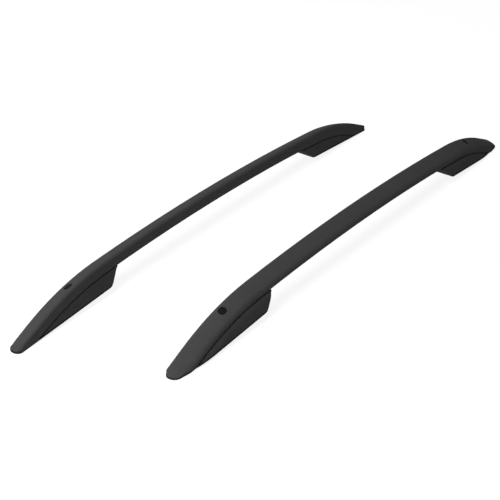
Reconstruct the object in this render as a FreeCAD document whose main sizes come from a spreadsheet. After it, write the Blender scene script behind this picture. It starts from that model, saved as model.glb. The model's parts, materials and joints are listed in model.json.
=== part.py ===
import FreeCAD, Part
import math
import os
import Sketcher

# A mirror-image pair of roof side rails. Each rail is a bent hollow aluminium bar on two moulded feet.
# Each rail is drawn in its own frame: x outwards from its inner side, y along it from its front tip,
# z up from the floor that its tips stand on. Millimetres and degrees.
SIZES = (
    ("rail_gap", 337.0, "between the inner sides of the two rails"),
    ("stagger", 136.5, "right rail further back than the left one"),
    ("bar_width", 47.5, "bar across"),
    ("bar_height", 34.5, "bar from underside to crest"),
    ("bar_wall", 3.0, "wall of the extrusion"),
    ("crest_radius", 7.0, "rounding of the high inner edge"),
    ("outer_radius", 17.0, "rounding of the low outer edge"),
    ("outer_centre", 7.5, "height of the centre of the outer rounding"),
    ("crown_radius", 120.0, "crown of the top face across the bar"),
    ("lower_radius", 4.0, "rounding of both lower edges"),
    ("front_tip", 56.0, "front tip to where the underside would meet the floor"),
    ("rear_tip", 54.0, "the same at the rear"),
    ("front_drop", 24.8, "slope of the straight front end"),
    ("rear_drop", 25.9, "slope of the straight rear end"),
    ("front_straight", 27.5, "straight part of the underside above the floor at the front"),
    ("front_bend", 678.0, "radius of the front bend at the underside"),
    ("rear_bend", 499.0, "radius of the rear bend at the underside"),
    ("arch_radius", 6946.0, "radius of the long arch at the underside"),
    ("arch_front", 3.23, "slope where the front bend meets the arch"),
    ("arch_rear", 4.71, "slope where the arch meets the rear bend"),
    ("raw_end", 85.0, "bar past the floor line before its ends are trimmed"),
    ("closed_turn", 2.5, "part of each bend, in degrees, that the closed nose takes in"),
    ("nose_inner", 40.0, "taper of the nose on its inner side"),
    ("nose_in", 1.5, "inner corner of the nose from the inner side"),
    ("nose_out", 36.0, "outer corner of the nose from the inner side"),
    ("nose_lean", 12.0, "outer side of the nose leaning from the line of the rail"),
    ("inner_round", 16.0, "rounding of the inner corner of the nose"),
    ("outer_round", 20.0, "rounding of the outer corner of the nose"),
    ("nose_drop", 30.0, "rounding of the crest down to the tip, seen from the side"),
    ("nose_over", 0.4, "that rounding's top over the line of the crest, for a clean edge where they meet"),
    ("nose_edge", 1.5, "upright edge left at the tip"),
    ("front_rise", 3.78, "slope of the front base"),
    ("rear_rise", 4.05, "slope of the rear base"),
    ("front_heel", 352.5, "front tip to the heel at the base"),
    ("rear_heel", 288.6, "rear tip to the heel at the base"),
    ("front_lean", 22.0, "lean of the front heel from upright"),
    ("rear_lean", 48.0, "lean of the rear heel from upright"),
    ("front_round", 18.0, "rounding of the front heel at the base"),
    ("rear_round", 40.0, "rounding of the rear heel at the base"),
    ("front_blend", 12.0, "hollow curve from the front heel into the bar's underside"),
    ("rear_blend", 45.0, "hollow curve from the rear heel into the bar's underside"),
    ("heel_tongue", 14.0, "thin end of the foot under the bar past the heel"),
    ("tongue_depth", 1.5, "underside to the bottom of that thin end"),
    ("foot_inset", 1.5, "foot inside the bar's side at the seam"),
    ("flank_radius", 50.0, "crown of the foot's outer side, which flares from the seam"),
    ("flank_depth", 24.0, "seam to where the outer side stands upright"),
    ("foot_gap", 0.3, "between foot and bar"),
    ("seam_height", 2.2, "shadow groove between foot and bar, from the top of the foot down"),
    ("seam_depth", 2.5, "that groove into the foot"),
    ("foot_wall", 3.5, "side walls of the foot"),
    ("foot_roof", 4.0, "wall of the foot under the bar"),
    ("rib", 3.5, "ribs between the cells under the foot"),
    ("first_cell", 96.0, "tip to the first cell under the foot"),
    ("cell_length", 50.0, "a cell along the rail, as near as a whole count of cells allows"),
    ("pillar", 28.0, "solid pillar round the sleeve, along the rail"),
    ("gasket", 4.0, "rubber under the foot"),
    ("gasket_lip", 0.9, "gasket past the outline above it"),
    ("front_bolt", 207.0, "front tip to the front bolt axis"),
    ("rear_bolt", 164.6, "rear tip to the rear bolt axis"),
    ("bolt_side", 20.5, "bolt axis from the inner side"),
    ("bolt_bore", 4.4, "radius of the bore for the roof stud"),
    ("bolt_room", 0.4, "room round the stud in bar and wedge, on the radius"),
    ("sleeve_radius", 7.0, "outside of the steel sleeve"),
    ("sleeve_gap", 0.1, "between the sleeve and what it seats in"),
    ("sleeve_lift", 1.0, "sleeve above the bottom of the gasket"),
    ("gasket_room", 1.0, "between sleeve and gasket"),
    ("wedge_length", 24.0, "wedge inside the bar, along the rail"),
    ("wedge_width", 24.0, "wedge across"),
    ("wedge_thin", 3.0, "thin end of the wedge"),
    ("wedge_gap", 0.05, "between the wedge and the wall under it"),
    ("access_width", 20.5, "access hole across"),
    ("access_length", 25.5, "access hole along the rail"),
    ("plug_gap", 0.25, "between plug and access hole"),
    ("plug_recess", 2.4, "plug below the top face"),
    ("snap_reach", 1.2, "snap of the plug past the access hole, behind the wall"),
    ("snap_length", 8.0, "snap along the rail"),
    ("snap_height", 1.4, "height of the snap"),
    ("snap_room", 0.7, "between the snap and the wall"),
    ("screw_radius", 2.1, "shank of a foot screw"),
    ("screw_room", 0.15, "round the shank in the foot and the bar"),
    ("screw_reach", 6.0, "screw past the bar's lower wall"),
    ("head_radius", 4.5, "six-sided head of a foot screw, to its corners"),
    ("head_height", 2.6, "height of that head"),
)
FAR = 400.0  # well outside the part, for the outer edges of cuts
TINY = 1e-6
CUT_WALLS = 6  # a cut through one wall of the hollow bar runs this many walls deep
HEAD_SIDES = 6

doc = FreeCAD.newDocument("roof_side_rails")
sheet = doc.addObject("Spreadsheet::Sheet", "Sizes")
for row, (alias, value, meaning) in enumerate(SIZES, 1):
    sheet.set(f"A{row}", meaning)
    sheet.set(f"B{row}", str(value))
    sheet.setAlias(f"B{row}", alias)
doc.recompute()


def size(alias):
    return float(sheet.get(alias))


def sind(angle):
    return math.sin(math.radians(angle))


def cosd(angle):
    return math.cos(math.radians(angle))


def tand(angle):
    return math.tan(math.radians(angle))


class Arc:
    """A stretch of the underside that turns downwards from one slope to the next."""

    def __init__(self, start, slope, radius, next_slope):
        self.radius = radius
        self.slopes = (slope, next_slope)
        self.centre = (start[0] + radius * sind(slope), start[1] - radius * cosd(slope))
        self.start = start
        self.end = self.point(next_slope)

    def point(self, slope):
        return (self.centre[0] - self.radius * sind(slope), self.centre[1] + self.radius * cosd(slope))


# The underside of the bar seen from the side: straight, bend, long arch, bend, straight.
BEND_START = (
    size("front_tip") + size("front_straight") * cosd(size("front_drop")),
    size("front_straight") * sind(size("front_drop")),
)
FRONT_BEND = Arc(BEND_START, size("front_drop"), size("front_bend"), size("arch_front"))
ARCH = Arc(FRONT_BEND.end, size("arch_front"), size("arch_radius"), -size("arch_rear"))
REAR_BEND = Arc(ARCH.end, -size("arch_rear"), size("rear_bend"), -size("rear_drop"))
REAR_FLOOR = REAR_BEND.end[0] + REAR_BEND.end[1] / tand(size("rear_drop"))
LENGTH = REAR_FLOOR + size("rear_tip")


def underside(y):
    """Height and slope of the bar's underside at y."""
    if y < BEND_START[0]:
        return (y - size("front_tip")) * tand(size("front_drop")), size("front_drop")
    if y > REAR_BEND.end[0]:
        return (REAR_FLOOR - y) * tand(size("rear_drop")), -size("rear_drop")
    arc = next(arc for arc in (FRONT_BEND, ARCH, REAR_BEND) if y <= arc.end[0] + TINY)
    slope = math.degrees(math.asin((arc.centre[0] - y) / arc.radius))
    return arc.point(slope)[1], slope


# The two ends share their code: u is the distance from the tip of that end, and y follows from it.
ENDS = ("front", "rear")


def along(end, u):
    return u if end == "front" else LENGTH - u


def base(end, u):
    """Height of the sloping base, the bottom of the gasket, at u."""
    return (u + size("gasket_lip")) * tand(size(f"{end}_rise"))


def seat(end, u):
    """Height of the top of the gasket at u."""
    return base(end, u) + size("gasket") / cosd(size(f"{end}_rise"))


# The section of the bar: four roundings and a crowned top. Its frame has the underside at z = 0.
CREST = (size("crest_radius"), size("bar_height") - size("crest_radius"))
OUTER = (size("bar_width") - size("outer_radius"), size("outer_centre"))


def crown_centre():
    """Centre of the crown, which touches the crest and outer roundings from outside."""
    to_crest = size("crown_radius") - size("crest_radius")
    to_outer = size("crown_radius") - size("outer_radius")
    across = (OUTER[0] - CREST[0], OUTER[1] - CREST[1])
    span = math.hypot(*across)
    along_span = (to_crest ** 2 - to_outer ** 2 + span ** 2) / (2 * span)
    off_span = math.sqrt(to_crest ** 2 - along_span ** 2)
    unit = (across[0] / span, across[1] / span)
    return (
        CREST[0] + along_span * unit[0] + off_span * unit[1],
        CREST[1] + along_span * unit[1] - off_span * unit[0],
    )


CROWN = crown_centre()


def top_face(x):
    """Height of the top face over the underside and its fall outwards in degrees, at x."""
    angle = math.asin((x - CROWN[0]) / size("crown_radius"))
    return CROWN[1] + size("crown_radius") * math.cos(angle), math.degrees(angle)


def vector(x, y, z):
    return FreeCAD.Vector(x, y, z)


def turn(axis, angle):
    return FreeCAD.Rotation(axis, angle)


X_AXIS = vector(1, 0, 0)
Y_AXIS = vector(0, 1, 0)
RAIL_PLACE = vector(size("rail_gap") / 2, size("stagger") / 2 - LENGTH / 2, 0)


def new_body(label):
    body = doc.addObject("PartDesign::Body", label)
    body.Label = label
    body.Placement.Base = RAIL_PLACE
    return body


def new_sketch(body, name, role, offset=None):
    plane = next(feature for feature in body.Origin.OriginFeatures if feature.Role == role)
    sketch = body.newObject("Sketcher::SketchObject", name)
    sketch.AttachmentSupport = [(plane, "")]
    sketch.MapMode = "FlatFace"
    if offset is not None:
        sketch.AttachmentOffset = offset
    return sketch


def dimension(sketch, constraint, formula):
    """A constraint whose value is bound to the sheet."""
    index = sketch.addConstraint(constraint)
    sketch.setExpression(f"Constraints[{index}]", formula)


def locate(sketch, geometry, point, x, y, x_formula, y_formula):
    dimension(sketch, Sketcher.Constraint("DistanceX", -1, 1, geometry, point, x), x_formula)
    dimension(sketch, Sketcher.Constraint("DistanceY", -1, 1, geometry, point, y), y_formula)


def sketch_line(sketch, start, end):
    return sketch.addGeometry(Part.LineSegment(vector(*start, 0), vector(*end, 0)))


def sketch_arc(sketch, centre, radius, start_angle, end_angle):
    """An arc that runs anticlockwise between two angles in degrees."""
    circle = Part.Circle(vector(*centre, 0), vector(0, 0, 1), radius)
    return sketch.addGeometry(
        Part.ArcOfCircle(circle, math.radians(start_angle), math.radians(end_angle))
    )


def outline(sketch, corners):
    """A closed outline through corners of (x, y, radius), rounded where the radius isn't zero."""
    stretches = []
    count = len(corners)
    for index, (x, y, radius) in enumerate(corners):
        corner = vector(x, y, 0)
        back = (vector(*corners[index - 1][:2], 0) - corner).normalize()
        ahead = (vector(*corners[(index + 1) % count][:2], 0) - corner).normalize()
        half = back.getAngle(ahead) / 2
        reach = radius / math.tan(half)
        inwards = (back + ahead).normalize() if radius else vector(0, 0, 0)
        middle = corner + inwards * (radius / math.sin(half) - radius)
        stretches.append((corner + back * reach, middle, corner + ahead * reach))
    for index, (start, middle, end) in enumerate(stretches):
        if (end - start).Length > TINY:
            sketch.addGeometry(Part.Arc(start, middle, end))
        sketch.addGeometry(Part.LineSegment(end, stretches[(index + 1) % count][0]))


def bar_path(body):
    """The underside line, run past the floor at both ends."""
    run = size("raw_end")
    slope = size("front_drop")
    start = (size("front_tip") - run * cosd(slope), -run * sind(slope))
    end = (REAR_FLOOR + run * cosd(size("rear_drop")), -run * sind(size("rear_drop")))
    sketch = new_sketch(body, "path", "YZ_Plane")
    first = sketch_line(sketch, start, BEND_START)
    arcs = path_arcs(sketch, (FRONT_BEND, ARCH, REAR_BEND))
    last = sketch_line(sketch, REAR_BEND.end, end)
    sketch.addConstraint(Sketcher.Constraint("Tangent", first, 2, arcs[0], 2))
    sketch.addConstraint(Sketcher.Constraint("Tangent", arcs[2], 1, last, 1))
    locate(
        sketch, first, 1, *start,
        "Sizes.front_tip - Sizes.raw_end * cos(Sizes.front_drop)",
        "-Sizes.raw_end * sin(Sizes.front_drop)",
    )
    dimension(
        sketch, Sketcher.Constraint("Distance", first, run + size("front_straight")),
        "Sizes.front_straight + Sizes.raw_end",
    )
    dimension(
        sketch, Sketcher.Constraint("Angle", first, math.radians(slope)), "Sizes.front_drop * 1deg"
    )
    turns = (
        "Sizes.front_drop - Sizes.arch_front",
        "Sizes.arch_front + Sizes.arch_rear",
        "Sizes.rear_drop - Sizes.arch_rear",
    )
    for geometry, arc, swing in zip(arcs, (FRONT_BEND, ARCH, REAR_BEND), turns):
        swept = math.radians(arc.slopes[0] - arc.slopes[1])
        dimension(sketch, Sketcher.Constraint("Angle", geometry, swept), f"({swing}) * 1deg")
    dimension(
        sketch, Sketcher.Constraint("DistanceY", -1, 1, last, 2, end[1]),
        "-Sizes.raw_end * sin(Sizes.rear_drop)",
    )
    return sketch, across_path(start, slope)


def path_arcs(sketch, arcs):
    """The front bend, the arch and the rear bend, each running on from the one before without a corner."""
    drawn = []
    for arc, radius in zip(arcs, ("front_bend", "arch_radius", "rear_bend")):
        geometry = sketch_arc(sketch, arc.centre, arc.radius, 90 + arc.slopes[1], 90 + arc.slopes[0])
        dimension(sketch, Sketcher.Constraint("Radius", geometry, arc.radius), f"Sizes.{radius}")
        drawn.append(geometry)
    sketch.addConstraint(Sketcher.Constraint("Tangent", drawn[0], 1, drawn[1], 2))
    sketch.addConstraint(Sketcher.Constraint("Tangent", drawn[1], 1, drawn[2], 2))
    return drawn


def hollow_path(body):
    """The same line between the closed noses, which take in the ends of both bends."""
    slope = size("front_drop") - size("closed_turn")
    front = Arc(FRONT_BEND.point(slope), slope, size("front_bend"), size("arch_front"))
    rear = Arc(ARCH.end, -size("arch_rear"), size("rear_bend"), size("closed_turn") - size("rear_drop"))
    sketch = new_sketch(body, "hollow_path", "YZ_Plane")
    path_arcs(sketch, (front, ARCH, rear))
    return sketch, across_path(front.start, slope)


def across_path(start, slope):
    """The place of a section sketch square to the start of the path."""
    return FreeCAD.Placement(vector(0, start[1], -start[0]), turn(X_AXIS, slope))


def facing(centre):
    """Direction in degrees, from the centre of the crown, in which a rounding meets the crown."""
    return math.degrees(math.atan2(centre[1] - CROWN[1], centre[0] - CROWN[0]))


def bar_section(body, place):
    """The outline of the bar: four roundings joined by the sides, the bottom and the crown."""
    sketch = new_sketch(body, "outside", "XZ_Plane", place)
    low = size("lower_radius")
    lower_outer = (size("bar_width") - low, low)
    lower_inner = (low, low)
    crest = sketch_arc(sketch, CREST, size("crest_radius"), facing(CREST), 180)
    inner_bottom = sketch_arc(sketch, lower_inner, low, 180, 270)
    outer_bottom = sketch_arc(sketch, lower_outer, low, -90, 0)
    outer = sketch_arc(sketch, OUTER, size("outer_radius"), 0, facing(OUTER))
    crown = sketch_arc(sketch, CROWN, size("crown_radius"), facing(OUTER), facing(CREST))
    inner_side = sketch_line(sketch, (0, CREST[1]), (0, low))
    bottom = sketch_line(sketch, (low, 0), (lower_outer[0], 0))
    outer_side = sketch_line(sketch, (size("bar_width"), low), (size("bar_width"), OUTER[1]))
    joins = (
        (crest, 2, inner_side, 1), (inner_side, 2, inner_bottom, 1), (inner_bottom, 2, bottom, 1),
        (bottom, 2, outer_bottom, 1), (outer_bottom, 2, outer_side, 1), (outer_side, 2, outer, 1),
        (outer, 2, crown, 1), (crown, 2, crest, 1),
    )
    for join in joins:
        sketch.addConstraint(Sketcher.Constraint("Tangent", *join))
    locate(sketch, crest, 3, *CREST, "Sizes.crest_radius", "Sizes.bar_height - Sizes.crest_radius")
    locate(sketch, outer, 3, *OUTER, "Sizes.bar_width - Sizes.outer_radius", "Sizes.outer_centre")
    locate(sketch, inner_bottom, 3, *lower_inner, "Sizes.lower_radius", "Sizes.lower_radius")
    locate(
        sketch, outer_bottom, 3, *lower_outer, "Sizes.bar_width - Sizes.lower_radius", "Sizes.lower_radius"
    )
    radii = (
        (crest, "crest_radius"), (outer, "outer_radius"), (crown, "crown_radius"),
        (inner_bottom, "lower_radius"), (outer_bottom, "lower_radius"),
    )
    for geometry, alias in radii:
        dimension(sketch, Sketcher.Constraint("Radius", geometry, size(alias)), f"Sizes.{alias}")
    return sketch


def hollow_section(body, place):
    """The hollow of the bar: a crowned top one wall under the crown, and plain corners elsewhere."""
    sketch = new_sketch(body, "inside", "XZ_Plane", place)
    wall = size("bar_wall")
    far_side = size("bar_width") - wall
    radius = size("crown_radius") - wall
    meets = []
    for centre in (OUTER, CREST):
        angle = facing(centre)
        meets.append((CROWN[0] + radius * cosd(angle), CROWN[1] + radius * sind(angle)))
    crown = sketch_arc(sketch, CROWN, radius, facing(OUTER), facing(CREST))
    corners = [meets[1], (wall, CREST[1]), (wall, wall), (far_side, wall), (far_side, OUTER[1]), meets[0]]
    for start, end in zip(corners, corners[1:]):
        sketch_line(sketch, start, end)
    dimension(
        sketch, Sketcher.Constraint("Radius", crown, radius), "Sizes.crown_radius - Sizes.bar_wall"
    )
    return sketch


def sweep(body, kind, name, section, path):
    pipe = body.newObject(f"PartDesign::{kind}Pipe", name)
    pipe.Profile = section
    pipe.Spine = path
    return pipe


def cut_through(body, name, sketch):
    """A cut right through the body, both ways from its sketch."""
    pocket = body.newObject("PartDesign::Pocket", name)
    pocket.Profile = sketch
    pocket.Type = "ThroughAll"
    pocket.SideType = "Symmetric"
    return pocket


def cut_depth(body, name, sketch, depth, formula):
    """A cut of a set depth, half of it on each side of its sketch."""
    pocket = body.newObject("PartDesign::Pocket", name)
    pocket.Profile = sketch
    pocket.SideType = "Symmetric"
    pocket.Length = depth
    pocket.setExpression("Length", formula)
    return pocket


def keep_inside(body, name, corners):
    """Keeps only what lies inside a side-view outline of (y, z, radius) corners."""
    sketch = new_sketch(body, f"{name}_outline", "YZ_Plane")
    outline(sketch, corners)
    frame = ((-FAR, -FAR), (LENGTH + FAR, -FAR), (LENGTH + FAR, FAR), (-FAR, FAR))
    outline(sketch, [(y, z, 0) for y, z in frame])
    return cut_through(body, name, sketch)


def round_nose(body, end, lip):
    """Trims the tip to its rounded plan, or to that plan grown by a lip."""
    reach = FAR / 2
    far_side = size("nose_out") + lip + reach * tand(size("nose_lean"))
    corners = (
        (-FAR, size("nose_inner"), 0),
        (-lip, size("nose_inner"), 0),
        (size("nose_in") - lip, -lip, size("inner_round") + lip),
        (size("nose_out") + lip, -lip, size("outer_round") + lip),
        (far_side, reach - lip, 0),
        (size("bar_width") + FAR, reach - lip, 0),
        (size("bar_width") + FAR, -FAR, 0),
        (-FAR, -FAR, 0),
    )
    sketch = new_sketch(body, f"{end}_nose_plan", "XY_Plane")
    outline(sketch, [(x, along(end, u), r) for x, u, r in corners])
    return cut_through(body, f"{end}_nose", sketch)


def drop_nose(body, end):
    """Rounds the crest of the nose down to its tip, seen from the side."""
    slope = size(f"{end}_drop")
    radius = size("nose_drop")
    depth = radius - size("nose_over")
    tip = seat(end, 0) + size("nose_edge")
    crest = size("bar_height") / cosd(slope) - size(f"{end}_tip") * tand(slope)
    height = crest - tip
    run = math.sqrt(radius ** 2 - (depth - height * cosd(slope)) ** 2) - height * sind(slope)
    centre = (run * cosd(slope) + depth * sind(slope), crest + run * sind(slope) - depth * cosd(slope))
    low = math.degrees(math.atan2(tip - centre[1], -centre[0]))
    high = 90 + slope
    arc = []
    for angle in (low, (low + high) / 2, high):
        arc.append((along(end, centre[0] + radius * cosd(angle)), centre[1] + radius * sind(angle)))
    reach = FAR / 2
    sketch = new_sketch(body, f"{end}_nose_side", "YZ_Plane")
    sketch.addGeometry(Part.Arc(*[vector(y, z, 0) for y, z in arc]))
    corners = (arc[2], (arc[2][0], reach), (along(end, -reach), reach), (along(end, -reach), tip), arc[0])
    for start, stop in zip(corners, corners[1:]):
        sketch_line(sketch, start, stop)
    return cut_through(body, f"{end}_nose_drop", sketch)


def upright_hole(body, name, end, radius, formula):
    """A hole along the bolt axis."""
    sketch = new_sketch(body, f"{name}_circle", "XY_Plane")
    centre = (size("bolt_side"), along(end, size(f"{end}_bolt")))
    circle = sketch.addGeometry(Part.Circle(vector(*centre, 0), vector(0, 0, 1), radius))
    dimension(sketch, Sketcher.Constraint("Radius", circle, radius), formula)
    dimension(
        sketch, Sketcher.Constraint("DistanceX", -1, 1, circle, 3, centre[0]), "Sizes.bolt_side"
    )
    return sketch


def access_place(end, below):
    """The plane of the access hole over the bolt axis, set below the top face."""
    height, fall = top_face(size("bolt_side"))
    axis = along(end, size(f"{end}_bolt"))
    y = axis
    shift = FAR
    while abs(shift) > TINY:
        shift = axis + height * sind(underside(y)[1]) - y
        y += shift
    z, slope = underside(y)
    spin = turn(X_AXIS, slope).multiply(turn(Y_AXIS, fall))
    top = vector(size("bolt_side"), y - height * sind(slope), z + height * cosd(slope))
    return FreeCAD.Placement(top - spin.multVec(vector(0, 0, below)), spin)


def slot(body, name, place, extra, formula):
    """A round-ended slot along the rail, larger than the access hole by extra on every side."""
    sketch = new_sketch(body, name, "XY_Plane", place)
    radius = size("access_width") / 2 + extra
    half = (size("access_length") - size("access_width")) / 2
    far = sketch_arc(sketch, (0, half), radius, 0, 180)
    near = sketch_arc(sketch, (0, -half), radius, 180, 360)
    left = sketch_line(sketch, (-radius, half), (-radius, -half))
    right = sketch_line(sketch, (radius, -half), (radius, half))
    for join in ((far, 2, left, 1), (left, 2, near, 1), (near, 2, right, 1), (right, 2, far, 1)):
        sketch.addConstraint(Sketcher.Constraint("Tangent", *join))
    sketch.addConstraint(Sketcher.Constraint("PointOnObject", far, 3, -2))
    sketch.addConstraint(Sketcher.Constraint("Symmetric", far, 3, near, 3, -1, 1))
    dimension(sketch, Sketcher.Constraint("Radius", far, radius), f"Sizes.access_width / 2 + {formula}")
    dimension(
        sketch, Sketcher.Constraint("DistanceY", near, 3, far, 3, 2 * half),
        "Sizes.access_length - Sizes.access_width",
    )
    return sketch


def pad(body, name, sketch, length, formula, symmetric=False):
    feature = body.newObject("PartDesign::Pad", name)
    feature.Profile = sketch
    feature.Length = length
    feature.setExpression("Length", formula)
    if symmetric:
        feature.SideType = "Symmetric"
    return feature


def cells(end):
    """The cells under a foot, as (start, end) from the tip: two groups, one each side of the pillar."""
    bolt = size(f"{end}_bolt")
    half = size("pillar") / 2
    groups = ((size("first_cell"), bolt - half), (bolt + half, size(f"{end}_heel") - 2 * size("foot_wall")))
    spans = []
    for start, stop in groups:
        count = max(1, round((stop - start) / size("cell_length")))
        step = (stop - start + size("rib")) / count
        for index in range(count):
            spans.append((start + index * step, start + (index + 1) * step - size("rib")))
    return spans


def screw_places(end):
    """Each foot screw stands in the middle of a cell: the second cell from the nose and the last."""
    spans = cells(end)
    chosen = (spans[min(1, len(spans) - 2)], spans[-1])
    return [along(end, (start + stop) / 2) for start, stop in chosen]


def square_place(y, depth):
    """A plane square to the underside at y, depth below it, on the middle line of the foot."""
    z, slope = underside(y)
    spin = turn(X_AXIS, slope)
    return FreeCAD.Placement(vector(size("bar_width") / 2, y, z) - spin.multVec(vector(0, 0, depth)), spin)


def screw_holes(body, end):
    for index, y in enumerate(screw_places(end), 1):
        sketch = new_sketch(body, f"{end}_screw_circle_{index}", "XY_Plane", square_place(y, 0))
        radius = size("screw_radius") + size("screw_room")
        circle = sketch.addGeometry(Part.Circle(vector(0, 0, 0), vector(0, 0, 1), radius))
        sketch.addConstraint(Sketcher.Constraint("Coincident", circle, 3, -1, 1))
        dimension(
            sketch, Sketcher.Constraint("Radius", circle, radius), "Sizes.screw_radius + Sizes.screw_room"
        )
        walls = size("bar_wall") + size("foot_roof")
        cut_depth(
            body, f"{end}_screw_hole_{index}", sketch, CUT_WALLS * walls,
            f"{CUT_WALLS} * (Sizes.bar_wall + Sizes.foot_roof)",
        )


def rail_bar():
    """The bent hollow extrusion with its trimmed noses, access holes and holes for studs and screws."""
    body = new_body("right_rail_bar")
    path, place = bar_path(body)
    sweep(body, "Additive", "extrusion", bar_section(body, place), path)
    path, place = hollow_path(body)
    sweep(body, "Subtractive", "hollow", hollow_section(body, place), path)
    corners = [
        (along("front", -FAR / 2), seat("front", -FAR / 2), 0),
        (along("front", size("front_heel")), seat("front", size("front_heel")), 0),
        (along("rear", size("rear_heel")), seat("rear", size("rear_heel")), 0),
        (along("rear", -FAR / 2), seat("rear", -FAR / 2), 0),
        (along("rear", -FAR / 2), FAR / 2, 0),
        (along("front", -FAR / 2), FAR / 2, 0),
    ]
    keep_inside(body, "base_trim", corners)
    for end in ENDS:
        round_nose(body, end, 0.0)
        drop_nose(body, end)
        wall = size("bar_wall")
        cut_depth(
            body, f"{end}_access", slot(body, f"{end}_access_slot", access_place(end, 0), 0, "0"),
            CUT_WALLS * wall, f"{CUT_WALLS} * Sizes.bar_wall",
        )
        radius = size("bolt_bore") + size("bolt_room")
        bolt_hole = upright_hole(body, f"{end}_bolt", end, radius, "Sizes.bolt_bore + Sizes.bolt_room")
        height = underside(along(end, size(f"{end}_bolt")))[0]
        bolt_hole.AttachmentOffset = FreeCAD.Placement(vector(0, 0, height), FreeCAD.Rotation())
        cut_depth(body, f"{end}_bolt_hole", bolt_hole, CUT_WALLS * wall, f"{CUT_WALLS} * Sizes.bar_wall")
        screw_holes(body, end)
    return body


def flank(sketch, below, lip):
    """The crowned outer side, from a depth below the bar to where it stands upright: its two ends."""
    radius = size("flank_radius")
    upright = size("foot_gap") + size("flank_depth")
    width = size("bar_width") - size("foot_inset") + lip
    middle = width - math.sqrt(radius ** 2 - size("flank_depth") ** 2)
    swing = math.degrees(math.asin((upright - below) / radius))
    arc = sketch_arc(sketch, (middle, -upright), radius, 0, swing)
    dimension(sketch, Sketcher.Constraint("Radius", arc, radius), "Sizes.flank_radius")
    return (middle + radius * cosd(swing), -below), (middle + radius, -upright)


def foot_section(body, place):
    """What hangs under the bar: an upright inner side, a crowned outer side and a groove along both seams."""
    sketch = new_sketch(body, "block_section", "XZ_Plane", place)
    roof = -size("foot_gap")
    ledge = roof - size("seam_height")
    inner = size("foot_inset")
    neck = inner + size("seam_depth")
    far_neck = size("bar_width") - neck
    top, bottom = flank(sketch, -ledge, 0.0)
    corners = (
        top, (far_neck, ledge), (far_neck, roof), (neck, roof), (neck, ledge), (inner, ledge),
        (inner, -FAR), (bottom[0], -FAR), bottom,
    )
    for start, end in zip(corners, corners[1:]):
        sketch_line(sketch, start, end)
    return sketch


def gasket_section(body, place):
    """The same sides grown by a lip, and run up through the bar, because the pad also lies under the nose."""
    sketch = new_sketch(body, "pad_section", "XZ_Plane", place)
    inner = size("foot_inset") - size("gasket_lip")
    top, bottom = flank(sketch, size("foot_gap"), size("gasket_lip"))
    high = size("bar_height")
    corners = (
        top, (top[0], high), (inner, high), (inner, -FAR), (bottom[0], -FAR), bottom,
    )
    for start, end in zip(corners, corners[1:]):
        sketch_line(sketch, start, end)
    return sketch


def heel_top(end):
    """Where the leaning heel meets the line a thin tongue below the bar's underside, from the tip and up."""
    heel = size(f"{end}_heel")
    lean = tand(size(f"{end}_lean"))
    u = heel
    shift = FAR
    while abs(shift) > TINY:
        height = underside(along(end, u))[0] - size("tongue_depth") - base(end, heel)
        shift = heel + height * lean - u
        u += shift
    return u, base(end, heel) + height


def side_view(end):
    """Side outline of a foot and its gasket: a leaning heel that runs into the bar in a hollow curve."""
    heel = size(f"{end}_heel")
    reach = FAR / 2
    top = heel_top(end)
    tongue = top[0] + size("heel_tongue")
    corners = [
        (-reach, base(end, -reach), 0),
        (heel, base(end, heel), size(f"{end}_round")),
        (*top, size(f"{end}_blend")),
        (tongue, underside(along(end, tongue))[0] - size("tongue_depth"), 0),
        (tongue, reach, 0),
        (-reach, reach, 0),
    ]
    return [(along(end, u), z, radius) for u, z, radius in corners]


def trim_seat(body, end, edge):
    """Keeps what lies between the top of the gasket and a level edge above or below it."""
    reach = FAR / 2
    corners = [(u, seat(end, u), 0) for u in (-reach, LENGTH / 2)]
    corners += [(LENGTH / 2, edge, 0), (-reach, edge, 0)]
    return keep_inside(body, "seat_trim", [(along(end, u), z, radius) for u, z, radius in corners])


def foot(end):
    """A moulded foot: a shell open below, with ribs, a pillar round the sleeve and a roof under the bar."""
    body = new_body(f"right_{end}_foot")
    path, place = bar_path(body)
    sweep(body, "Additive", "block", foot_section(body, place), path)
    keep_inside(body, "side_trim", side_view(end))
    trim_seat(body, end, FAR / 2)
    round_nose(body, end, 0.0)
    middle = size("bar_width") / 2
    middle_plane = FreeCAD.Placement(vector(0, 0, middle), FreeCAD.Rotation())
    sketch = new_sketch(body, "cell_outlines", "YZ_Plane", middle_plane)
    for first, last in cells(end):
        y = along(end, (first + last) / 2)
        z, slope = underside(y)
        roof = z - (size("foot_gap") + size("foot_roof")) / cosd(slope)
        corners = []
        for u in (first, last):
            corners.append((along(end, u), roof + (along(end, u) - y) * tand(slope), 0))
        corners.append((along(end, last), -FAR, 0))
        corners.append((along(end, first), -FAR, 0))
        outline(sketch, corners)
    width = size("bar_width") - 2 * (size("foot_inset") + size("foot_wall"))
    cut_depth(
        body, "cells", sketch, width, "Sizes.bar_width - 2 * (Sizes.foot_inset + Sizes.foot_wall)"
    )
    radius = size("sleeve_radius") + size("sleeve_gap")
    cut_through(
        body, "sleeve_hole",
        upright_hole(body, "sleeve", end, radius, "Sizes.sleeve_radius + Sizes.sleeve_gap"),
    )
    screw_holes(body, end)
    return body


def gasket(end):
    """The rubber pad under the foot and the nose."""
    body = new_body(f"right_{end}_gasket")
    path, place = bar_path(body)
    sweep(body, "Additive", "block", gasket_section(body, place), path)
    keep_inside(body, "side_trim", side_view(end))
    trim_seat(body, end, -FAR / 2)
    round_nose(body, end, size("gasket_lip"))
    radius = size("sleeve_radius") + size("gasket_room")
    cut_through(
        body, "sleeve_hole",
        upright_hole(body, "sleeve", end, radius, "Sizes.sleeve_radius + Sizes.gasket_room"),
    )
    return body


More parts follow.
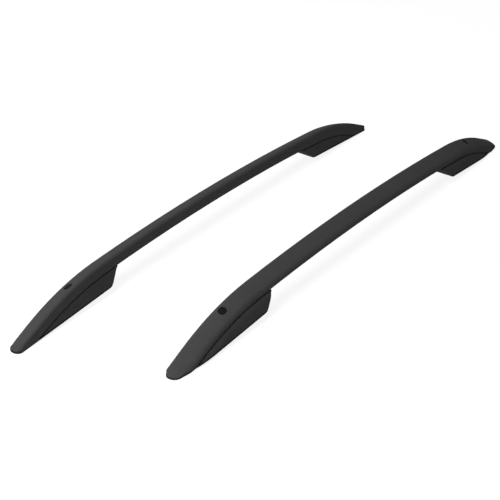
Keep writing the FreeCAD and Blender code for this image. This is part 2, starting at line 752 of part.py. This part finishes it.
def sleeve(end):
    """The steel sleeve that takes the clamping load, its top cut to the slope of the bar."""
    body = new_body(f"right_{end}_sleeve")
    u = size(f"{end}_bolt")
    y = along(end, u)
    bottom = base(end, u) + size("sleeve_lift")
    z, slope = underside(y)
    outside = upright_hole(body, "ring", end, size("sleeve_radius"), "Sizes.sleeve_radius")
    centre = vector(size("bolt_side"), y, 0)
    bore = outside.addGeometry(Part.Circle(centre, vector(0, 0, 1), size("bolt_bore")))
    outside.addConstraint(Sketcher.Constraint("Coincident", 0, 3, bore, 3))
    dimension(outside, Sketcher.Constraint("Radius", bore, size("bolt_bore")), "Sizes.bolt_bore")
    outside.AttachmentOffset = FreeCAD.Placement(vector(0, 0, bottom), FreeCAD.Rotation())
    rise = z - bottom + 2 * size("sleeve_radius")
    tube = body.newObject("PartDesign::Pad", "tube")
    tube.Profile = outside
    tube.Length = rise
    mitre = new_sketch(body, "mitre_outline", "YZ_Plane")
    top = z - size("sleeve_gap") / cosd(slope)
    reach = 2 * size("sleeve_radius")
    cut = [(y + step, top + step * tand(slope), 0) for step in (-reach, reach)]
    cut += [(y + reach, FAR, 0), (y - reach, FAR, 0)]
    outline(mitre, cut)
    cut_through(body, "mitre", mitre)
    return body


def wedge(end):
    """The wedge inside the bar that gives the nut a level seat."""
    body = new_body(f"right_{end}_wedge")
    y = along(end, size(f"{end}_bolt"))
    z, slope = underside(y)
    floor = z + (size("bar_wall") + size("wedge_gap")) / cosd(slope)
    half = size("wedge_length") / 2
    top = floor + half * abs(tand(slope)) + size("wedge_thin")
    place = FreeCAD.Placement(vector(0, 0, size("bolt_side")), FreeCAD.Rotation())
    sketch = new_sketch(body, "side", "YZ_Plane", place)
    corners = [(y + step, floor + step * tand(slope), 0) for step in (-half, half)]
    corners += [(y + half, top, 0), (y - half, top, 0)]
    outline(sketch, corners)
    pad(body, "block", sketch, size("wedge_width"), "Sizes.wedge_width", symmetric=True)
    radius = size("bolt_bore") + size("bolt_room")
    cut_through(
        body, "stud_hole", upright_hole(body, "stud", end, radius, "Sizes.bolt_bore + Sizes.bolt_room")
    )
    return body


def plug(end):
    """The push-in plug of an access hole, set a little below the top face, with a snap behind the wall."""
    body = new_body(f"right_{end}_plug")
    depth = size("bar_wall") + size("snap_room") + size("snap_height")
    place = access_place(end, depth)
    disc = slot(body, "disc_outline", place, -size("plug_gap"), "(-Sizes.plug_gap)")
    pad(
        body, "disc", disc, depth - size("plug_recess"),
        "Sizes.bar_wall + Sizes.snap_room + Sizes.snap_height - Sizes.plug_recess",
    )
    snap = new_sketch(body, "snap_outline", "XY_Plane", place)
    half_width = size("access_width") / 2 + size("snap_reach")
    half_length = size("snap_length") / 2
    corners = ((-half_width, -half_length), (half_width, -half_length), (half_width, half_length))
    outline(snap, [(x, y, 0) for x, y in (*corners, (-half_width, half_length))])
    pad(body, "snap", snap, size("snap_height"), "Sizes.snap_height")
    return body


def screws(end):
    """The self-tapping screws that hold a foot to the bar from inside its cells."""
    pieces = []
    for index, y in enumerate(screw_places(end), 1):
        roof = size("foot_gap") + size("foot_roof")
        place = square_place(y, roof + size("head_height"))
        place.Base = place.Base + RAIL_PLACE
        head = doc.addObject("Part::Prism", f"{end}_screw_head_{index}")
        head.Polygon = HEAD_SIDES
        head.setExpression("Circumradius", "Sizes.head_radius")
        head.setExpression("Height", "Sizes.head_height")
        shank = doc.addObject("Part::Cylinder", f"{end}_screw_shank_{index}")
        shank.setExpression("Radius", "Sizes.screw_radius")
        shank.setExpression(
            "Height",
            "Sizes.head_height + Sizes.foot_roof + Sizes.foot_gap + Sizes.bar_wall + Sizes.screw_reach",
        )
        for piece in (head, shank):
            piece.Placement = place
        screw = doc.addObject("Part::Fuse", f"{end}_screw_{index}")
        screw.Base = head
        screw.Tool = shank
        pieces.append(screw)
    group = doc.addObject("Part::Compound", f"right_{end}_foot_screws")
    group.Links = pieces
    group.Label = f"right_{end}_foot_screws"
    return group


def mirrored(source):
    """The left rail's copy of a right-hand piece."""
    label = source.Label.replace("right_", "left_")
    piece = doc.addObject("Part::Mirroring", label)
    piece.Label = label
    piece.Source = source
    piece.Normal = X_AXIS
    piece.setExpression("Placement.Base.y", "-Sizes.stagger")
    return piece


right_pieces = [rail_bar()]
for end in ENDS:
    right_pieces += [foot(end), gasket(end), sleeve(end), wedge(end), plug(end), screws(end)]
doc.recompute()
nodes = right_pieces + [mirrored(piece) for piece in right_pieces]
doc.recompute()

for item in doc.Objects:
    if "Invalid" in item.State or "Error" in item.State:
        raise RuntimeError(f"{item.Label} failed: {item.State}")
for node in nodes:
    if node.Shape.isNull() or not node.Shape.isValid() or not node.Shape.Solids:
        raise RuntimeError(f"{node.Label} has no valid solid")

os.makedirs("parts", exist_ok=True)
for node in nodes:
    node.Shape.exportStep(f"parts/{node.Label}.step")
    print(node.Label, len(node.Shape.Solids), round(node.Shape.Volume / 1000, 2), "cm3")
print("length", round(LENGTH, 1))
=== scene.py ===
import json
import math

import bmesh
import bpy
from mathutils import Matrix, Vector


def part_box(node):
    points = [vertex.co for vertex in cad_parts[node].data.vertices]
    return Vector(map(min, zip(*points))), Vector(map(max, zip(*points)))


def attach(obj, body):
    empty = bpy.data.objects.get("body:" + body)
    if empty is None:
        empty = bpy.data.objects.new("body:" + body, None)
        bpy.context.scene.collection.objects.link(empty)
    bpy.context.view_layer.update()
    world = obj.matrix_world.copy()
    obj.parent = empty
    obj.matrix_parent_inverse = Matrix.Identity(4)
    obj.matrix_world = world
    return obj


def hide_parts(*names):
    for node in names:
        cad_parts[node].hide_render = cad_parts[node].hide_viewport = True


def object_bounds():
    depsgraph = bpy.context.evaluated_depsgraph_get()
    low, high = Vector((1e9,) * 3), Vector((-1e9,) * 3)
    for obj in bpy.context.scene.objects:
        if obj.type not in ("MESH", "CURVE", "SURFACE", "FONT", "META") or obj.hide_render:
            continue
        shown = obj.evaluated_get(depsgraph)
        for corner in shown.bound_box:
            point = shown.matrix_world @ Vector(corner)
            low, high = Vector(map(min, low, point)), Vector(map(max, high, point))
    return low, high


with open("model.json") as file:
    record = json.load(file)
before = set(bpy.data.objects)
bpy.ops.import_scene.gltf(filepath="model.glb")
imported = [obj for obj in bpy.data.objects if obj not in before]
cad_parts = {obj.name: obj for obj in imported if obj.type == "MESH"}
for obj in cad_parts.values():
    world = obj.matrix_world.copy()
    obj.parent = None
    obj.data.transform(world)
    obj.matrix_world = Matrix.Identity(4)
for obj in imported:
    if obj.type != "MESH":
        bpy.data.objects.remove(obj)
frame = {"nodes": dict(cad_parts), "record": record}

# Looks, light and camera for a pair of roof side rails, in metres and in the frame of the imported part.
NODES = frame["nodes"]
CAD_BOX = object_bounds()
WHITE = (1.0, 1.0, 1.0, 1.0)

# Camera: azimuth and elevation of the view in degrees, place in metres, focal length in frame widths.
VIEW_AZIMUTH = 36.29
VIEW_ELEVATION = 30.0
CAMERA_PLACE = Vector((2.3145, -3.2786, 2.2778))
FOCAL_WIDTHS = 3.4
SENSOR = 36.0

# Surfaces: soft clouds of colour and a fine grain, both from noise, most of whose values lie in this span.
NOISE_SPAN = (0.3, 0.7)
CLOUD_DETAIL = 4.0
CLOUD_ROUGHNESS = 0.6
GRAIN_DETAIL = 3.0
GRAIN_ROUGHNESS = 0.55
GRAIN_DEPTH = 0.0004
COOL_TINT = 1.03  # blue against red and green in the greys


def new_material(name):
    """A material with a principled shader, and its object coordinates in metres."""
    material = bpy.data.materials.new(name)
    material.use_nodes = True
    tree = material.node_tree
    shader = tree.nodes["Principled BSDF"]
    place = tree.nodes.new("ShaderNodeTexCoord").outputs["Object"]
    return material, tree, shader, place


def noise(tree, place, scale, detail, roughness):
    node = tree.nodes.new("ShaderNodeTexNoise")
    node.inputs["Scale"].default_value = scale
    node.inputs["Detail"].default_value = detail
    node.inputs["Roughness"].default_value = roughness
    tree.links.new(place, node.inputs["Vector"])
    return node.outputs["Fac"]


def ramp(tree, value, low, high):
    """Turns a noise value into a colour between two others."""
    node = tree.nodes.new("ShaderNodeValToRGB")
    for element, position, colour in zip(node.color_ramp.elements, NOISE_SPAN, (low, high)):
        element.position = position
        element.color = (*colour, 1.0)
    tree.links.new(value, node.inputs["Fac"])
    return node.outputs["Color"]


def spread(tree, value, low, high):
    """Turns a noise value into a roughness between two others."""
    node = tree.nodes.new("ShaderNodeMapRange")
    node.inputs["From Min"].default_value = NOISE_SPAN[0]
    node.inputs["From Max"].default_value = NOISE_SPAN[1]
    node.inputs["To Min"].default_value = low
    node.inputs["To Max"].default_value = high
    tree.links.new(value, node.inputs["Value"])
    return node.outputs["Result"]


def bump(tree, shader, height, strength):
    node = tree.nodes.new("ShaderNodeBump")
    node.inputs["Strength"].default_value = strength
    node.inputs["Distance"].default_value = GRAIN_DEPTH
    tree.links.new(height, node.inputs["Height"])
    tree.links.new(node.outputs["Normal"], shader.inputs["Normal"])


def grey(level):
    return (level, level, level * COOL_TINT)


def coated(name, low, high, rough, grain_scale, grain, specular, metallic=0.0, cloud_scale=14.0):
    """A surface with clouds between two colours, and a fine grain in its roughness and as bump."""
    material, tree, shader, place = new_material(name)
    cloud = noise(tree, place, cloud_scale, CLOUD_DETAIL, CLOUD_ROUGHNESS)
    tree.links.new(ramp(tree, cloud, low, high), shader.inputs["Base Color"])
    fine = noise(tree, place, grain_scale, GRAIN_DETAIL, GRAIN_ROUGHNESS)
    tree.links.new(spread(tree, fine, *rough), shader.inputs["Roughness"])
    bump(tree, shader, fine, grain)
    shader.inputs["Specular IOR Level"].default_value = specular
    shader.inputs["Metallic"].default_value = metallic
    return material


BY_SLOT = {
    "bar_finish": coated(
        "powder_coat", low=grey(0.056), high=grey(0.062), rough=(0.66, 0.76),
        grain_scale=900.0, grain=0.10, specular=0.008,
    ),
    "foot_plastic": coated(
        "moulded_plastic", low=grey(0.053), high=grey(0.059), rough=(0.72, 0.82),
        grain_scale=700.0, grain=0.18, specular=0.008,
    ),
    "gasket_rubber": coated(
        "rubber", low=grey(0.018), high=grey(0.024), rough=(0.80, 0.90),
        grain_scale=500.0, grain=0.2, specular=0.03,
    ),
    "plug_plastic": coated(
        "plug_plastic", low=grey(0.008), high=grey(0.011), rough=(0.64, 0.76),
        grain_scale=800.0, grain=0.12, specular=0.03,
    ),
    "zinc_steel": coated(
        "zinc_steel", low=(0.50, 0.52, 0.54), high=(0.62, 0.62, 0.60), rough=(0.26, 0.4),
        grain_scale=600.0, grain=0.1, specular=0.5, metallic=1.0, cloud_scale=120.0,
    ),
    "wedge_metal": coated(
        "cast_metal", low=(0.42, 0.42, 0.43), high=(0.52, 0.52, 0.52), rough=(0.4, 0.6),
        grain_scale=450.0, grain=0.25, specular=0.5, metallic=1.0, cloud_scale=90.0,
    ),
}
for part in frame["record"]["subparts"]:
    node = NODES[part["node"]]
    node.data.materials.clear()
    node.data.materials.append(BY_SLOT[part["material_slot"]])

# Bars: the crest along a bar's inner top edge is round, and a few of its facets cut straight across.
CREST_REACH = 0.0095  # how far the crest comes in from the bar's inner side
CREST_LOWEST = 0.03  # the noses below this height keep their facets
LEAST_DENT = 1e-5
SAME_PLACE = 1e-6  # corners this near are one
SHARP_FROM = math.radians(30.0)


def facing(a, b, c):
    return (b.co - a.co).cross(c.co - a.co)


def on_crest(edge, inner_side):
    corners = [vertex.co for facet in edge.link_faces for vertex in facet.verts]
    return all(abs(corner.x - inner_side) < CREST_REACH and corner.z > CREST_LOWEST for corner in corners)


def is_dent(work, edge, outward):
    """Whether an edge lies in a hollow of the outer skin, and its facets can share the other diagonal."""
    if not edge.is_manifold:
        return False
    loop, other = edge.link_loops
    a, b, c = loop.vert, loop.link_loop_next.vert, loop.link_loop_prev.vert
    d = other.link_loop_prev.vert
    facets = [facing(*corners) for corners in ((a, b, c), (b, a, d), (a, d, c), (d, b, c))]
    if min(facet.dot(outward) for facet in facets) <= 0 or work.edges.get((c, d)):
        return False
    return (d.co - a.co).dot(facets[0].normalized()) > LEAST_DENT


def fill_dents(work, inner_side, outward):
    """Turns diagonals on the crest until its skin bulges all along, as the round does."""
    turned = True
    while turned:
        dented = [edge for edge in work.edges if on_crest(edge, inner_side) and is_dent(work, edge, outward)]
        turned = False
        for edge in dented:
            if edge.is_valid and is_dent(work, edge, outward):
                bmesh.utils.edge_rotate(edge)
                turned = True


def crest_mesh(name):
    """A bar's mesh with the same corners, and the crest's facets laid along it."""
    low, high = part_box(name)
    inner_side = min(low.x, high.x, key=abs)
    outward = Vector((-math.copysign(1.0, inner_side), 0.0, 1.0))
    mesh = NODES[name].data.copy()
    work = bmesh.new()
    work.from_mesh(mesh)
    bmesh.ops.remove_doubles(work, verts=work.verts[:], dist=SAME_PLACE)
    fill_dents(work, inner_side, outward)
    mesh.clear_geometry()
    work.to_mesh(mesh)
    work.free()
    mesh.shade_smooth()
    mesh.set_sharp_from_angle(angle=SHARP_FROM)
    return mesh


def bar_skin(name):
    """The piece that stands for a bar."""
    skin = bpy.data.objects.new(name + "_skin", crest_mesh(name))
    bpy.context.scene.collection.objects.link(skin)
    skin.modifiers.new("normals", "WEIGHTED_NORMAL").keep_sharp = True
    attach(skin, "root")
    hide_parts(name)


for side in ("right", "left"):
    bar_skin(side + "_rail_bar")

# Stage: a wide pale floor that keeps soft shadows, an even pale world and two soft lamps.
FLOOR_SIZE = 60.0
FLOOR_GREY = 0.78
FLOOR_WHITE = 0.75  # share of the floor that the camera sees as plain white, the rest keeps the shadow
FLOOR_GLOW = 1.17  # brightness of that white
WORLD_LEVEL = 0.10  # even light on the object from all round, where white is 1
KEY_FROM = (0.05, -0.68, 0.73)
KEY_DISTANCE = 6.5
KEY_SIZE = 3.0
KEY_LEVEL = 3.1
FILL_FROM = (-0.91, -0.20, 0.36)
FILL_DISTANCE = 7.0
FILL_SIZE = 4.0
FILL_LEVEL = 0.9


def seen_rays(tree):
    """1 where the camera sees the surface directly, in a reflection or through glass."""
    path = tree.nodes.new("ShaderNodeLightPath")
    total = path.outputs["Is Camera Ray"]
    for name in ("Is Glossy Ray", "Is Transmission Ray"):
        either = tree.nodes.new("ShaderNodeMath")
        either.operation = "MAXIMUM"
        tree.links.new(total, either.inputs[0])
        tree.links.new(path.outputs[name], either.inputs[1])
        total = either.outputs["Value"]
    return total


def floor_material():
    """A matt grey that takes the shadows, blended with plain white where the camera sees it."""
    material = bpy.data.materials.new("floor")
    material.use_nodes = True
    tree = material.node_tree
    shader = tree.nodes["Principled BSDF"]
    shader.inputs["Base Color"].default_value = (FLOOR_GREY, FLOOR_GREY, FLOOR_GREY, 1.0)
    shader.inputs["Roughness"].default_value = 1.0
    shader.inputs["Specular IOR Level"].default_value = 0.0
    glow = tree.nodes.new("ShaderNodeEmission")
    glow.inputs["Strength"].default_value = FLOOR_GLOW
    share = tree.nodes.new("ShaderNodeMath")
    share.operation = "MULTIPLY"
    share.inputs[1].default_value = FLOOR_WHITE
    tree.links.new(seen_rays(tree), share.inputs[0])
    blend = tree.nodes.new("ShaderNodeMixShader")
    tree.links.new(share.outputs["Value"], blend.inputs["Fac"])
    tree.links.new(shader.outputs["BSDF"], blend.inputs[1])
    tree.links.new(glow.outputs["Emission"], blend.inputs[2])
    tree.links.new(blend.outputs["Shader"], tree.nodes["Material Output"].inputs["Surface"])
    return material


def pale_world():
    """A world that looks white and lights the object evenly at a lower level."""
    world = bpy.data.worlds.new("studio")
    world.use_nodes = True
    tree = world.node_tree
    background = tree.nodes["Background"]
    background.inputs["Color"].default_value = WHITE
    level = tree.nodes.new("ShaderNodeMapRange")
    level.inputs["To Min"].default_value = WORLD_LEVEL
    level.inputs["To Max"].default_value = 1.0
    tree.links.new(seen_rays(tree), level.inputs["Value"])
    tree.links.new(level.outputs["Result"], background.inputs["Strength"])
    return world


def lamp(name, direction, distance, size, level):
    """A soft round lamp that lights the object's middle as a sun of that strength would."""
    middle = (CAD_BOX[0] + CAD_BOX[1]) / 2
    toward = Vector(direction).normalized()
    data = bpy.data.lights.new(name, "AREA")
    data.shape = "DISK"
    data.size = size
    data.energy = level * math.pi * distance ** 2
    light = bpy.data.objects.new(name, data)
    bpy.context.scene.collection.objects.link(light)
    light.location = middle + toward * distance
    light.rotation_mode = "QUATERNION"
    light.rotation_quaternion = toward.to_track_quat("Z", "Y")


def photo_camera():
    """A camera at the photo's angle."""
    azimuth = math.radians(VIEW_AZIMUTH)
    elevation = math.radians(VIEW_ELEVATION)
    right = Vector((math.cos(azimuth), math.sin(azimuth), 0.0))
    level_back = Vector((math.sin(azimuth), -math.cos(azimuth), 0.0))
    back = level_back * math.cos(elevation) + Vector((0.0, 0.0, math.sin(elevation)))
    up = back.cross(right)
    data = bpy.data.cameras.new("camera")
    data.sensor_fit = "HORIZONTAL"
    data.sensor_width = SENSOR
    data.lens = SENSOR * FOCAL_WIDTHS
    camera = bpy.data.objects.new("camera", data)
    bpy.context.scene.collection.objects.link(camera)
    turn = Matrix((right, up, back)).transposed().to_4x4()
    camera.matrix_world = Matrix.Translation(CAMERA_PLACE) @ turn
    return camera


bpy.ops.mesh.primitive_plane_add(size=FLOOR_SIZE, location=(0, 0, CAD_BOX[0].z))
floor = bpy.context.object
floor.name = "floor"
floor.data.materials.append(floor_material())
bpy.context.scene.world = pale_world()
lamp("key", KEY_FROM, KEY_DISTANCE, KEY_SIZE, KEY_LEVEL)
lamp("fill", FILL_FROM, FILL_DISTANCE, FILL_SIZE, FILL_LEVEL)
bpy.context.scene.camera = photo_camera()
bpy.context.scene.view_settings.view_transform = "Standard"
